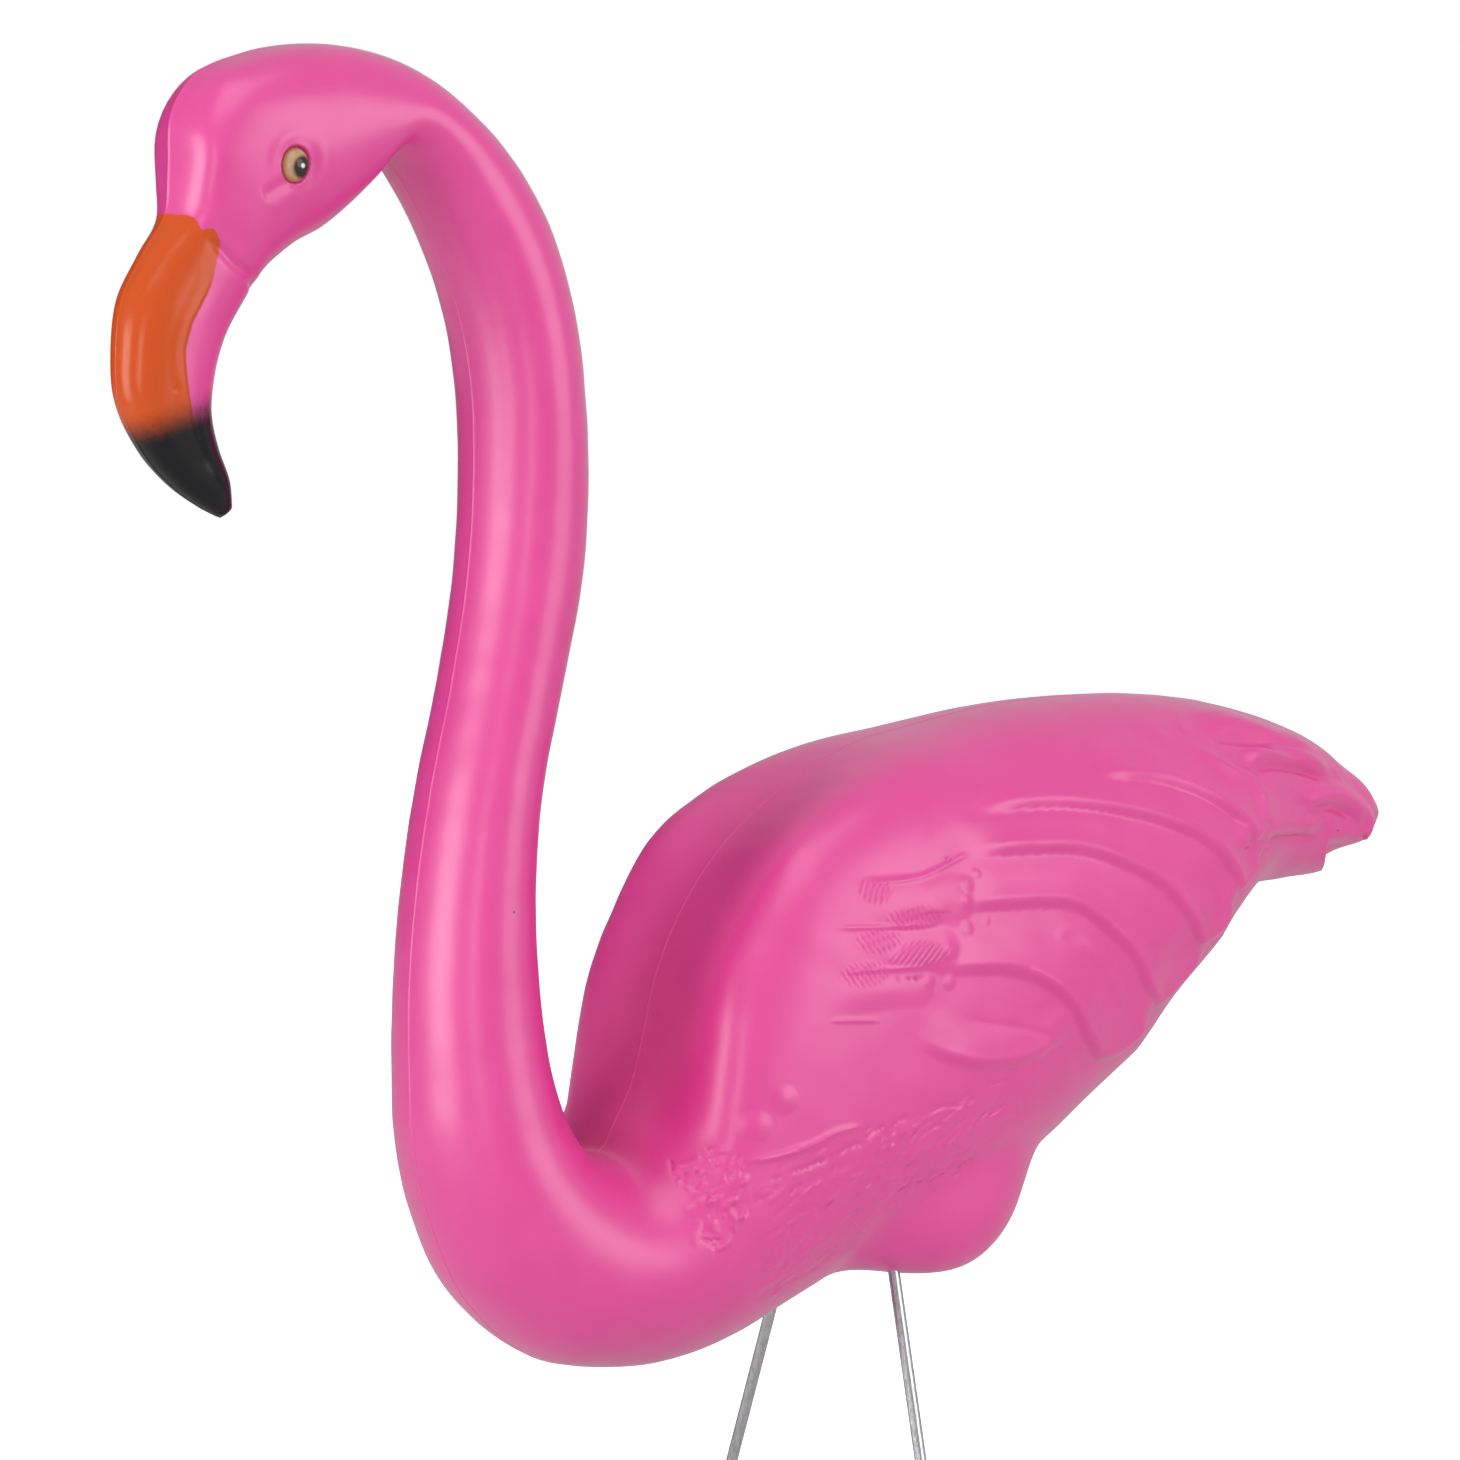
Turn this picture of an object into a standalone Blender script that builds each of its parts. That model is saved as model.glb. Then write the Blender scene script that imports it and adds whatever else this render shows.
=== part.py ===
# Pink flamingo lawn ornament: one moulded plastic bird that stands on two steel wire legs.
# Metres, +Z up. The bird faces -X and its left side is -Y.
# The origin is on the ground, midway between the two legs, where each leg is cut off flat.

import math

import bpy
import numpy as np

# Driving sizes.
birdHeight = 0.600
groundClearance = 0.270
wireDiameter = 0.0055
legSplay = math.radians(18.0)
legRake = math.radians(3.5)
socketDepth = 0.040
socketClearance = 0.0003

# The bird's free form is kept as thousandths of its height, above the lowest point of its breast.
share = birdHeight / 1000

# Each cross-section runs from a back or outer point T to a belly or inner point B, both in the plane of
# symmetry. The columns are T x, T z, B x, B z, the half-width, and the fullness of the half at T, where 2 is
# an ellipse and more is squarer.
slimSections = [
    (-540, 651, -530, 659, 5, 2.0),
    (-557, 659, -532, 674, 12, 2.2),
    (-594, 689, -542, 700, 19, 2.4),
    (-620, 738, -548, 730, 24, 2.5),
    (-622, 770, -545, 752, 25, 2.5),
    (-616, 803, -537, 777, 27, 2.5),
    (-597, 835, -523, 799, 28, 2.6),
    (-578, 862, -511, 811, 32, 2.7),
    (-577, 891, -505, 819, 39, 2.8),
    (-573, 922, -494, 829, 46, 2.9),
    (-556, 952, -481, 841, 50, 2.8),
    (-520, 973, -460, 852, 52, 2.6),
    (-469, 983, -441, 867, 52, 2.3),
    (-417, 978, -426, 882, 52, 2.1),
    (-367, 958, -411, 900, 52, 2.0),
    (-333, 933, -397, 895, 52, 2.0),
    (-302, 902, -381, 877, 53, 2.0),
    (-279, 868, -365, 851, 55, 2.0),
    (-262, 827, -347, 814, 57, 2.0),
    (-250, 780, -335, 776, 58, 2.0),
    (-244, 730, -328, 730, 58, 2.0),
    (-241, 675, -327, 676, 57, 2.0),
    (-245, 605, -332, 608, 56, 2.0),
    (-264, 520, -347, 525, 55, 2.0),
    (-283, 440, -366, 445, 57, 2.0),
    (-289, 363, -379, 368, 60, 2.0),
    (-285, 290, -385, 294, 64, 2.0),
    (-278, 243, -385, 243, 69, 2.0),
]

# After the half-width, the body's sections give the share of the way up from B to T at which they are
# widest, the fullness of the upper and of the lower half, and the groove between the two shoulders.
bodySections = [
    (-264, 202, -382, 188, 75, 0.50, 2.0, 2.0, 0.0),
    (-246, 177, -369, 135, 83, 0.50, 2.0, 2.0, 0.0),
    (-228, 169, -338, 71, 91, 0.50, 2.0, 2.0, 0.0),
    (-216, 171, -285, 24, 99, 0.50, 2.0, 2.0, 0.0),
    (-204, 190, -219, 7, 106, 0.50, 2.0, 2.0, 0.0),
    (-190, 215, -168, 8, 112, 0.50, 2.1, 2.0, 0.2),
    (-179, 250, -124, 18, 118, 0.50, 2.2, 2.0, 0.5),
    (-166, 298, -78, 37, 124, 0.50, 2.2, 2.1, 0.6),
    (-144, 343, -30, 57, 129, 0.50, 2.2, 2.2, 0.6),
    (-107, 389, 20, 74, 132, 0.50, 2.2, 2.3, 0.7),
    (-55, 428, 67, 89, 134, 0.50, 2.2, 2.3, 0.6),
    (8, 459, 117, 106, 133, 0.50, 2.2, 2.2, 0.4),
    (84, 475, 167, 132, 130, 0.50, 2.2, 2.1, 0.2),
    (165, 486, 213, 165, 124, 0.50, 2.2, 2.2, 0.1),
    (247, 489, 259, 202, 116, 0.50, 2.1, 2.5, 0.0),
    (320, 485, 306, 244, 104, 0.50, 2.0, 2.6, 0.0),
    (384, 475, 354, 290, 85, 0.50, 2.0, 2.4, 0.0),
    (443, 459, 405, 323, 64, 0.50, 2.0, 2.2, 0.0),
    (484, 441, 454, 328, 51, 0.50, 2.1, 2.1, 0.0),
    (514, 424, 500, 332, 42, 0.50, 2.2, 2.2, 0.0),
    (539, 407, 537, 352, 33, 0.50, 2.2, 2.2, 0.0),
    (552, 392, 554, 366, 20, 0.50, 2.0, 2.0, 0.0),
]

# Swellings of the skin: centre, reach along each axis, and how far they stand out.
thigh = {"centre": (74, 68, 78), "reach": (126, 64, 100), "lift": 54}

# The wing's feathers lie like tiles, each over the next one down. A row is one feather: the x and z of its
# lower edge from the root, then round its tip and up to the feather above.
wingFeathers = [
    [(270, 462), (325, 443), (362, 420), (376, 398), (368, 374)],
    [(195, 431), (255, 424), (300, 407), (338, 385), (360, 360), (378, 368), (384, 386)],
    [(42, 411), (120, 416), (190, 408), (245, 394), (290, 373), (328, 338), (356, 342), (372, 360)],
    [(32, 386), (94, 385), (153, 379), (200, 363), (245, 337), (285, 293), (318, 303), (342, 336)],
    [(20, 346), (74, 345), (132, 337), (172, 318), (205, 290), (232, 250), (270, 254), (300, 292)],
    [(0, 299), (43, 298), (82, 292), (115, 276), (148, 248), (176, 217), (208, 217), (238, 246)],
    [(-32, 256), (0, 239), (32, 229), (65, 224), (100, 226), (135, 234), (160, 240)],
]
featherLip = 6
featherBand = 44
featherStep = 15

# Where a leg's axis enters the belly, and the eyes' centres, in the same thousandths.
legEntry = (6.5, 77, 35)
eyeCentre = (-505, 44, 897)
eyeRadius = 11

# How finely the skin is divided: the section at which each stretch starts, the way from one ring of points
# to the next, and the points in a ring.
stretches = [
    {"name": "head", "start": 0, "spacing": 15, "round": 24},
    {"name": "neck", "start": 15, "spacing": 30, "round": 24},
    {"name": "breast", "start": 28, "spacing": 25, "round": 48},
    {"name": "body", "start": 34, "spacing": 14, "round": 48},
]
legSides = 16
eyeRings = 6
eyeSides = 12


def remove_everything():
    for thing in list(bpy.data.objects):
        bpy.data.objects.remove(thing, do_unlink=True)


def make_material(name, colour, roughness, metallic):
    material = bpy.data.materials.new(name)
    material.use_nodes = True
    shader = material.node_tree.nodes["Principled BSDF"]
    shader.inputs["Base Color"].default_value = (*colour, 1.0)
    shader.inputs["Roughness"].default_value = roughness
    shader.inputs["Metallic"].default_value = metallic
    return material


def make_object(name, points, faces, material):
    mesh = bpy.data.meshes.new(name)
    mesh.from_pydata([tuple(point) for point in points], [], faces)
    mesh.validate()
    mesh.shade_smooth()
    mesh.set_sharp_from_angle(angle=math.radians(50))
    mesh.materials.append(material)
    thing = bpy.data.objects.new(name, mesh)
    bpy.context.scene.collection.objects.link(thing)
    return thing


def section_stations(sections):
    # The distance along the bird of each section, as the mean way that its two ends have come.
    ends = np.array(sections)[:, :4]
    steps = np.diff(ends, axis=0)
    way = (np.hypot(steps[:, 0], steps[:, 1]) + np.hypot(steps[:, 2], steps[:, 3])) / 2
    return np.concatenate([[0.0], np.cumsum(way)])


def smooth_between(stations, values, wanted):
    # A smooth curve through the values, whose slope at each is that of the parabola through its neighbours.
    gaps = np.diff(stations)[:, None]
    rises = np.diff(values, axis=0) / gaps
    inner = (rises[:-1] * gaps[1:] + rises[1:] * gaps[:-1]) / (gaps[1:] + gaps[:-1])
    slopes = np.vstack([rises[:1], inner, rises[-1:]])
    index = np.clip(np.searchsorted(stations, wanted, side="right") - 1, 0, len(gaps) - 1)
    gap = gaps[index]
    at = ((wanted - stations[index])[:, None]) / gap
    start = (1 + 2 * at) * (1 - at) ** 2 * values[index] + at * (1 - at) ** 2 * gap * slopes[index]
    end = at**2 * (3 - 2 * at) * values[index + 1] + at**2 * (at - 1) * gap * slopes[index + 1]
    return start + end


def half_section(row, count):
    # Points down one side of a section from T to B, evenly spaced: how far up from B to T, and how far out.
    half_width, widest, upper, lower, groove = row[4:]
    angle = np.linspace(0, math.pi / 2, 60)
    out_up, up = np.sin(angle) ** (2 / upper), np.cos(angle) ** (2 / upper)
    out_down, down = np.sin(angle) ** (2 / lower), np.cos(angle) ** (2 / lower)
    up = up + groove * np.cos(angle) * np.sin(angle) ** 2
    height = np.concatenate([widest + (1 - widest) * up, (widest - widest * down[::-1])[1:]])
    out = half_width * np.concatenate([out_up, out_down[::-1][1:]])
    length = math.hypot(row[0] - row[2], row[1] - row[3])
    way = np.concatenate([[0.0], np.cumsum(np.hypot(np.diff(height) * length, np.diff(out)))])
    even = np.linspace(0, way[-1], count // 2 + 1)
    return np.interp(even, way, height), np.interp(even, way, out)


def ring_of(row, count):
    # One closed ring, from T down the left side to B and up the right side.
    height, out = half_section(row, count)
    x = row[2] + (row[0] - row[2]) * height
    z = row[3] + (row[1] - row[3]) * height
    left = np.stack([x, -out, z], axis=1)
    right = left[-2:0:-1] * (1, -1, 1)
    return np.vstack([left, right])


def skin_normals(rings):
    along = np.gradient(rings, axis=0)
    around = np.roll(rings, -1, axis=1) - np.roll(rings, 1, axis=1)
    normal = np.cross(around, along)
    return normal / np.maximum(np.linalg.norm(normal, axis=2, keepdims=True), 1e-9)


def swelling(points, bump):
    # A smooth rise on each side of the bird, which fades to nothing at its reach.
    one_side = np.concatenate([points[..., :1], np.abs(points[..., 1:2]), points[..., 2:]], axis=-1)
    away = (((one_side - bump["centre"]) / bump["reach"]) ** 2).sum(axis=-1)
    return bump["lift"] * np.clip(1 - away, 0, None) ** 2


def smooth_step(low, high, value):
    at = np.clip((value - low) / (high - low), 0, 1)
    return at * at * (3 - 2 * at)


def smooth_curve(through, count):
    # Evenly numbered points on a smooth curve through a few given ones.
    through = np.array(through, dtype=float)
    stations = np.concatenate([[0.0], np.cumsum(np.hypot(*np.diff(through, axis=0).T))])
    return smooth_between(stations, through, np.linspace(0, stations[-1], count))


def from_edge(x, z, curve):
    # How far each place is from the curve, below zero on its right, and the nearest point's way along it.
    nearest = np.full(x.shape, np.inf)
    side = np.ones(x.shape)
    along = np.zeros(x.shape)
    for i, ((x0, z0), (x1, z1)) in enumerate(zip(curve[:-1], curve[1:])):
        dx, dz = x1 - x0, z1 - z0
        part = np.clip(((x - x0) * dx + (z - z0) * dz) / (dx * dx + dz * dz), 0, 1)
        away = np.hypot(x - x0 - part * dx, z - z0 - part * dz)
        closer = away < nearest
        nearest = np.where(closer, away, nearest)
        side = np.where(closer, np.sign(dx * (z - z0) - dz * (x - x0)), side)
        along = np.where(closer, (i + part) / (len(curve) - 1), along)
    return nearest * side, along


def feather_height(points, edge):
    # A feather rises to a lip at its edge and slopes down to nothing under the feather above.
    inside, along = from_edge(points[..., 0], points[..., 2], smooth_curve(edge, 40))
    lip = smooth_step(0, featherStep, inside) * np.clip(1 - inside / featherBand, 0, 1)
    return featherLip * lip * smooth_step(0, 0.25, along)


def relief(points, normals):
    # How far the skin stands out at each point, in thousandths.
    wing = np.zeros(points.shape[:-1])
    for edge in wingFeathers:
        wing = np.maximum(wing, feather_height(points, edge))
    return swelling(points, thigh) + wing * smooth_step(0.1, 0.4, np.abs(normals[..., 1]))


def bird_rings():
    # Every ring of the skin, in order from the bill to the tail.
    sections = np.array([row[:5] + (0.5, row[5], 2.0, 0.0) for row in slimSections] + bodySections)
    stations = section_stations(sections)
    rings = []
    for stretch, after in zip(stretches, stretches[1:] + [None]):
        first = stations[stretch["start"]]
        last = stations[after["start"]] if after else stations[-1]
        count = round((last - first) / stretch["spacing"])
        wanted = np.linspace(first, last, count + 1)
        rows = smooth_between(stations, sections, wanted)
        grid = np.array([ring_of(row, stretch["round"]) for row in rows])
        normals = skin_normals(grid)
        grid = grid + normals * relief(grid, normals)[..., None]
        rings += list(grid if after is None else grid[:-1])
    return rings


def ring_faces(first, count):
    # The four-sided faces from one ring of points to the next one.
    faces = []
    for i in range(count):
        after = (i + 1) % count
        faces.append((first + i, first + after, first + count + after, first + count + i))
    return faces


def doubling_faces(first, count, second):
    # Joins a ring to the next one, which has two points for each of its own.
    faces = []
    for i in range(count):
        a, b = first + i, first + (i + 1) % count
        c, d, e = second + 2 * i, second + 2 * i + 1, second + (2 * i + 2) % (2 * count)
        faces += [(a, d, c), (a, b, d), (b, e, d)]
    return faces


def fan_faces(tip, first, count, outward):
    # Joins a single point to a ring.
    pairs = [(first + i, first + (i + 1) % count) for i in range(count)]
    return [(tip, b, a) if outward else (tip, a, b) for a, b in pairs]


def bird_skin():
    # The rings as one closed mesh, with a point at the bill's tip and one at the tail's end.
    rings = bird_rings()
    tip = 1.25 * rings[0].mean(axis=0) - 0.25 * rings[1].mean(axis=0)
    end = 1.25 * rings[-1].mean(axis=0) - 0.25 * rings[-2].mean(axis=0)
    faces = fan_faces(0, 1, len(rings[0]), True)
    first = 1
    for ring, after in zip(rings[:-1], rings[1:]):
        second = first + len(ring)
        if len(after) == len(ring):
            faces += ring_faces(first, len(ring))
        else:
            faces += doubling_faces(first, len(ring), second)
        first = second
    faces += fan_faces(first + len(rings[-1]), first, len(rings[-1]), False)
    return np.vstack([[tip], *rings, [end]]), faces


def leg_direction(side):
    # Up along a leg's axis. Side is -1 for the left leg and 1 for the right one.
    direction = np.array([math.tan(legRake), -side * math.tan(legSplay), 1.0])
    return direction / np.linalg.norm(direction)


def place(points):
    # From thousandths of the bird's height to metres, with the leg ends on either side of the origin.
    entry_height = groundClearance + legEntry[2] * share
    forward = legEntry[0] * share - math.tan(legRake) * entry_height
    return np.asarray(points) * share + (-forward, 0.0, groundClearance)


def leg_rod(side, radius, low, high):
    # A round rod about a leg's axis, cut off level at both heights.
    entry = place((legEntry[0], side * legEntry[1], legEntry[2]))
    up = leg_direction(side)
    across = np.cross(up, (0.0, 1.0, 0.0))
    across = across / np.linalg.norm(across)
    over = np.cross(up, across)
    turn = np.arange(legSides) * 2 * math.pi / legSides
    rim = radius * (np.cos(turn)[:, None] * across + np.sin(turn)[:, None] * over)
    points = []
    for level in (low, high):
        start = entry + rim
        points.append(start + up * ((level - start[:, 2]) / up[2])[:, None])
    faces = [tuple(range(legSides))[::-1], tuple(range(legSides, 2 * legSides))]
    faces += ring_faces(0, legSides)
    return np.vstack(points), faces


def leg_top():
    return groundClearance + legEntry[2] * share + socketDepth * leg_direction(1)[2]


def add_boolean(thing, other, operation):
    modifier = thing.modifiers.new(other.name, "BOOLEAN")
    modifier.operation = operation
    modifier.solver = "EXACT"
    modifier.object = other
    other.hide_render = True
    other.display_type = "WIRE"


def eye_ball(side):
    # A round eyeball of few sides, sunk in the side of the head.
    centre = np.array((eyeCentre[0], side * eyeCentre[1], eyeCentre[2]))
    points = [(0.0, 0.0, -1.0)]
    for ring in range(1, eyeRings):
        lift = -math.pi / 2 + math.pi * ring / eyeRings
        for i in range(eyeSides):
            turn = 2 * math.pi * i / eyeSides
            points.append((math.cos(lift) * math.cos(turn), math.cos(lift) * math.sin(turn), math.sin(lift)))
    points.append((0.0, 0.0, 1.0))
    last = len(points) - 1
    faces = fan_faces(0, 1, eyeSides, True)
    for ring in range(eyeRings - 2):
        faces += ring_faces(1 + ring * eyeSides, eyeSides)
    faces += fan_faces(last, last - eyeSides, eyeSides, False)
    return place(centre + np.array(points) * eyeRadius), faces


def build_bird(plastic):
    points, faces = bird_skin()
    bird = make_object("bird", place(points), faces, plastic)
    for side, name in ((-1, "left"), (1, "right")):
        ball = make_object("eye_ball_" + name, *eye_ball(side), plastic)
        add_boolean(bird, ball, "UNION")
        bore = (wireDiameter / 2 + socketClearance) / math.cos(math.pi / legSides)
        top = leg_top() + socketClearance
        rod = leg_rod(side, bore, groundClearance - 2 * socketDepth, top)
        cutter = make_object("socket_" + name, *rod, plastic)
        add_boolean(bird, cutter, "DIFFERENCE")


def build_legs(steel):
    for side, name in ((-1, "left"), (1, "right")):
        make_object("leg_" + name, *leg_rod(side, wireDiameter / 2, 0.0, leg_top()), steel)


def main():
    remove_everything()
    plastic = make_material("pink_plastic", (0.84, 0.10, 0.34), 0.32, 0.0)
    steel = make_material("steel_wire", (0.58, 0.58, 0.60), 0.30, 1.0)
    build_bird(plastic)
    build_legs(steel)


main()
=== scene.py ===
import math
import bmesh
import bpy
import numpy as np
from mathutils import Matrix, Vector


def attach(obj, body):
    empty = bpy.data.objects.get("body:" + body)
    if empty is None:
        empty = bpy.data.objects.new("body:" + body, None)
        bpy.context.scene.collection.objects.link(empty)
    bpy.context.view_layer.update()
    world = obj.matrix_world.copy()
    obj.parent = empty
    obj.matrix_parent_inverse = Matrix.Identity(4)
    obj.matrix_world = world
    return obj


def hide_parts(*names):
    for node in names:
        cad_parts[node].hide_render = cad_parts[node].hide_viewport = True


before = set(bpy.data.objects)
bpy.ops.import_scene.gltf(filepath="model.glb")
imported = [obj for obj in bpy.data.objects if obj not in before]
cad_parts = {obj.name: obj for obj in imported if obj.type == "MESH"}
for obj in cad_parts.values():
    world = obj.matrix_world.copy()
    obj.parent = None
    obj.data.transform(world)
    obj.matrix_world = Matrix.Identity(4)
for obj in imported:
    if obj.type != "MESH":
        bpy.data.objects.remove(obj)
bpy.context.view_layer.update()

# Pink flamingo lawn ornament. The bird faces -X and its left side is -Y.
# Its form is given in thousandths of its height, so one of them is 0.6 mm.
print("frame loaded")

cameraView = {
    "aim": (-0.04435, 0.0, 0.557),
    "turn": 36.0,          # degrees round from the bird's left side towards its front
    "tilt": 5.0,           # degrees above the horizon
    "distance": 2.3,
    "lens": 125.15,
}
studio = {
    "bright": 0.54,        # brightness of the room
    "dark": 0.05,          # and of its doorway
    "doorway": (170.0, 8.0),       # turn and tilt of the doorway's middle
    "doorwayEdge": (0.74, 0.93),   # where it starts and where it is full, as cosines of the angle from there
    "seen": 1.0,           # how bright the wall and floor look to the camera
    "floorRadius": 7.0,
    "floorSides": 96,
    "floorColour": (0.70, 0.70, 0.70),
    "lightsAim": (0.0, 0.0, 0.56),
    # turn and tilt of each soft light about that point, its distance, width, height and power in watts
    "lights": {
        "frontStrip": (97.0, 0.0, 2.2, 1.05, 1.1, 15.5),
        "narrowStrip": (52.0, 1.0, 2.6, 0.30, 0.8, 4.0),
        "sidePanel": (-24.0, 10.0, 2.6, 1.9, 1.6, 20.0),
        "topPanel": (40.0, 58.0, 3.0, 2.4, 2.4, 24.0),
    },
}


def awayFrom(turn, tilt):
    # The direction at that many degrees round from the bird's left side and above the horizon.
    turn, tilt = math.radians(turn), math.radians(tilt)
    return Vector((-math.sin(turn) * math.cos(tilt), -math.cos(turn) * math.cos(tilt), math.sin(tilt)))


def addObject(name, data):
    added = bpy.data.objects.new(name, data)
    bpy.context.scene.collection.objects.link(added)
    return added


def aimFrom(thing, aim, turn, tilt, distance):
    away = awayFrom(turn, tilt)
    thing.location = Vector(aim) + away * distance
    thing.rotation_euler = (-away).to_track_quat("-Z", "Y").to_euler()


def makeCamera(view):
    data = bpy.data.cameras.new("camera")
    data.sensor_width = 36.0
    data.lens = view["lens"]
    camera = addObject("camera", data)
    aimFrom(camera, view["aim"], view["turn"], view["tilt"], view["distance"])
    bpy.context.scene.camera = camera


def makeLight(name, turn, tilt, distance, width, height, power):
    data = bpy.data.lights.new(name, "AREA")
    data.shape = "RECTANGLE"
    data.size, data.size_y, data.energy = width, height, power
    aimFrom(addObject(name, data), studio["lightsAim"], turn, tilt, distance)


def feed(tree, node, inputs):
    # Sets a node's inputs, each given as a value or as the socket that feeds it.
    for name, value in inputs.items():
        if isinstance(value, bpy.types.NodeSocket):
            tree.links.new(value, node.inputs[name])
        else:
            node.inputs[name].default_value = value


def addNode(tree, kind, settings=None, inputs=None):
    node = tree.nodes.new("ShaderNode" + kind)
    for name, value in (settings or {}).items():
        setattr(node, name, value)
    feed(tree, node, inputs or {})
    return node


def makeMaterial(name):
    material = bpy.data.materials.new(name)
    material.use_nodes = True
    return material, material.node_tree, material.node_tree.nodes["Principled BSDF"]


def seenOrLit(tree, lit, seen):
    # One value for what the camera sees, and another for the light that falls on the bird.
    byCamera = addNode(tree, "LightPath").outputs["Is Camera Ray"]
    return addNode(tree, "Mix", {}, {"Factor": byCamera, "A": lit, "B": seen}).outputs["Result"]


def makeRoom(facts):
    # A pale room with a dark doorway behind the bird.
    world = bpy.data.worlds.new("whiteRoom")
    world.use_nodes = True
    bpy.context.scene.world = world
    tree = world.node_tree
    ways = {0: addNode(tree, "TexCoord").outputs["Generated"], 1: awayFrom(*facts["doorway"])}
    facing = addNode(tree, "VectorMath", {"operation": "DOT_PRODUCT"}, ways).outputs["Value"]
    low, high = facts["doorwayEdge"]
    bright, dark = facts["bright"], facts["dark"]
    ends = {"Value": facing, "From Min": low, "From Max": high, "To Min": bright, "To Max": dark}
    wall = addNode(tree, "MapRange", {}, ends).outputs["Result"]
    strength = seenOrLit(tree, wall, facts["seen"])
    feed(tree, tree.nodes["Background"], {"Color": (1.0, 1.0, 1.0, 1.0), "Strength": strength})
    for name, numbers in facts["lights"].items():
        makeLight(name, *numbers)


def makeFloor(facts):
    material, tree, shader = makeMaterial("paleFloor")
    feed(tree, shader, {
        "Base Color": (*facts["floorColour"], 1.0),
        "Roughness": 0.9,
        "Specular IOR Level": 0.1,
        "Emission Color": (1.0, 1.0, 1.0, 1.0),
        "Emission Strength": seenOrLit(tree, 0.0, facts["seen"]),
    })
    sides = facts["floorSides"]
    turn = [2 * math.pi * i / sides for i in range(sides)]
    rim = [(facts["floorRadius"] * math.cos(t), facts["floorRadius"] * math.sin(t), 0.0) for t in turn]
    mesh = bpy.data.meshes.new("floor")
    mesh.from_pydata(rim, [], [tuple(range(sides))])
    mesh.materials.append(material)
    floor = addObject("floor", mesh)


makeCamera(cameraView)
makeRoom(studio)
makeFloor(studio)
bpy.context.scene.view_settings.view_transform = "Standard"
print("camera and studio ready")

# Sections from the bill's tip to the tail. T is the back or outer point and B the belly or inner one, both
# in the plane of symmetry: T x, T z, B x, B z, half-width, how full the half at T is, where 2 is an ellipse
# and more is squarer, and how far it is drawn out to a ridge at T.
slimSections = [
    (-540, 651, -530, 659, 5, 2.0, 0.0),
    (-557, 659, -532, 674, 12, 2.2, 0.0),
    (-594, 689, -542, 700, 19, 3.0, 0.05),
    (-620, 738, -548, 730, 25, 2.3, 0.0),
    (-621, 770, -545, 752, 27, 2.3, 0.0),
    (-616, 803, -537, 777, 29, 2.4, 0.02),
    (-598, 836, -524, 799, 30, 2.9, 0.09),
    (-581, 863, -515, 812, 33, 4.0, 0.17),
    (-578, 893, -509, 821, 40, 4.4, 0.18),
    (-576, 929, -498, 831, 46, 4.2, 0.18),
    (-558, 957, -482, 842, 50, 3.6, 0.13),
    (-519, 974, -460, 853, 52, 3.0, 0.05),
    (-469, 982, -441, 867, 52, 2.4, 0.0),
    (-417, 978, -426, 882, 52, 2.1, 0.0),
    (-367, 958, -411, 904, 52, 2.0, 0.0),
    (-333, 933, -397, 898, 52, 2.0, 0.0),
    (-302, 902, -381, 877, 53, 2.0, 0.0),
    (-279, 868, -365, 851, 55, 2.0, 0.0),
    (-262, 827, -347, 814, 57, 2.0, 0.0),
    (-250, 780, -335, 776, 58, 2.0, 0.0),
    (-244, 730, -328, 730, 58, 2.0, 0.0),
    (-241, 675, -327, 676, 57, 2.0, 0.0),
    (-245, 605, -332, 608, 56, 2.0, 0.0),
    (-264, 520, -347, 525, 55, 2.0, 0.0),
    (-283, 440, -366, 445, 57, 2.0, 0.0),
    (-289, 363, -379, 368, 60, 2.0, 0.0),
    (-285, 290, -385, 294, 64, 2.0, 0.0),
    (-278, 243, -385, 243, 69, 2.0, 0.0),
]
# The body's sections give after the half-width the fullness above and below, and the groove of the back.
bodySections = [
    (-264, 202, -382, 188, 75, 2.0, 2.0, 0.0),
    (-246, 177, -369, 135, 83, 2.0, 2.0, 0.0),
    (-228, 169, -338, 71, 91, 2.0, 2.0, 0.0),
    (-216, 171, -285, 24, 99, 2.0, 2.0, 0.0),
    (-204, 190, -219, 7, 106, 2.0, 2.0, 0.0),
    (-190, 215, -168, 8, 112, 2.1, 2.0, 0.2),
    (-179, 250, -124, 18, 118, 2.2, 2.0, 0.5),
    (-166, 298, -78, 37, 124, 2.2, 2.1, 0.6),
    (-144, 343, -30, 57, 129, 2.2, 2.2, 0.6),
    (-107, 389, 20, 74, 132, 2.2, 2.3, 0.7),
    (-55, 428, 67, 89, 134, 2.2, 2.3, 0.6),
    (8, 459, 117, 106, 133, 2.2, 2.2, 0.4),
    (84, 475, 167, 132, 130, 2.2, 2.1, 0.2),
    (165, 486, 213, 165, 124, 2.2, 2.2, 0.1),
    (247, 489, 259, 202, 116, 2.1, 2.5, 0.0),
    (320, 485, 306, 244, 104, 2.0, 2.6, 0.0),
    (384, 475, 354, 290, 85, 2.0, 2.4, 0.0),
    (443, 459, 405, 323, 64, 2.0, 2.2, 0.0),
    (484, 442, 454, 328, 51, 2.1, 2.1, 0.0),
    (511, 424, 500, 332, 42, 2.2, 2.2, 0.0),
    (537, 406, 537, 352, 33, 2.2, 2.2, 0.0),
    (552, 392, 554, 366, 20, 2.0, 2.0, 0.0),
]

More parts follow.
